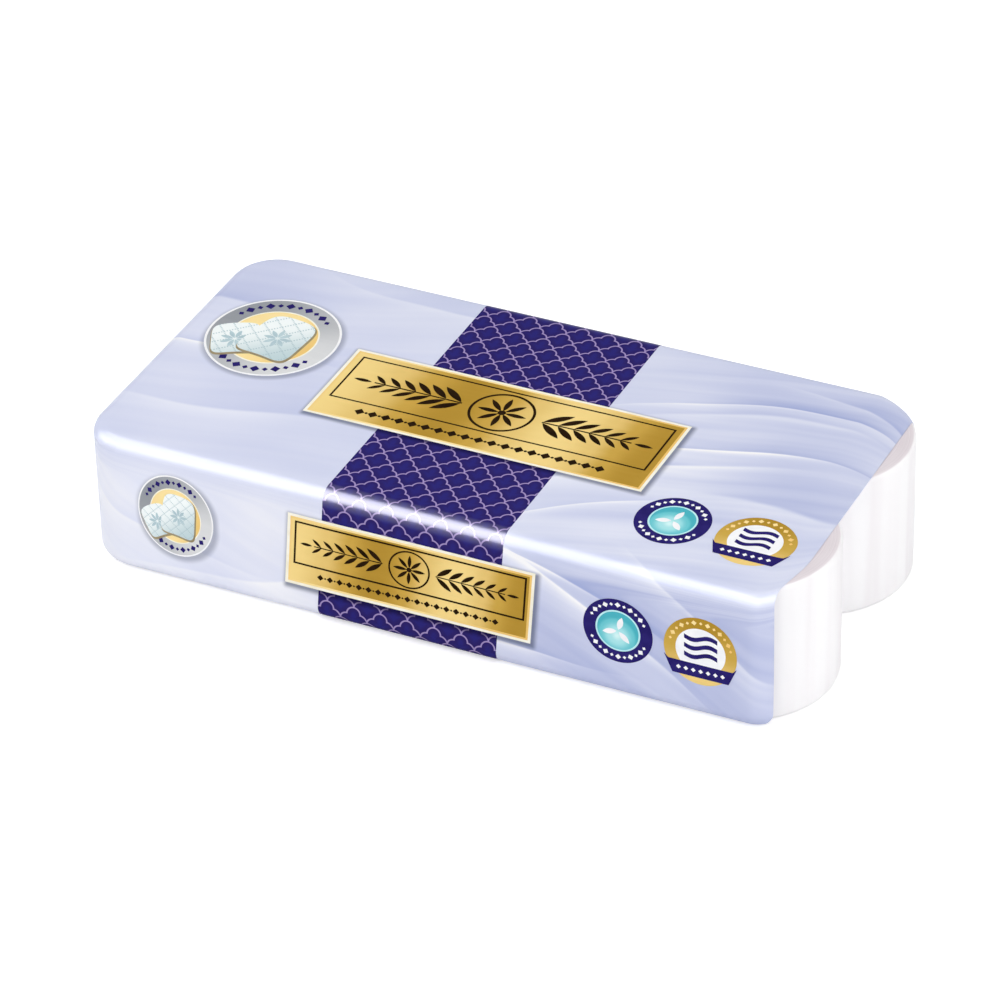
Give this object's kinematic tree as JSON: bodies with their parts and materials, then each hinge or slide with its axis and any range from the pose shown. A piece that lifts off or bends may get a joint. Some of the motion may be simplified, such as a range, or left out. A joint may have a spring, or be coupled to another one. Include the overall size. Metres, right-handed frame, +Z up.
{
  "type": "toilet paper roll pack",
  "caption": "Film-wrapped block of toilet rolls standing on end, printed with a dark band and a gold plate, with the film open at one end",
  "frame": {"origin": "middle of the pack's footprint, on the surface that it stands on", "axes": "+X along the pack towards its open end, +Y from front to back, +Z up"},
  "size_m": [0.4908, 0.246, 0.0982],
  "materials": {
    "film": "soft satin printed polythene film",
    "paper": "soft white tissue, wound",
    "cardboard": "plain grey-brown core board"
  },
  "bodies": {
    "root": {"wrap_film": "film", "roll_front_1": "paper", "roll_front_2": "paper", "roll_front_3": "paper", "roll_front_4": "paper", "roll_back_1": "paper", "roll_back_2": "paper", "roll_back_3": "paper", "roll_back_4": "paper", "core_front_1": "cardboard", "core_front_2": "cardboard", "core_front_3": "cardboard", "core_front_4": "cardboard", "core_back_1": "cardboard", "core_back_2": "cardboard", "core_back_3": "cardboard", "core_back_4": "cardboard"}
  },
  "joints": []
}
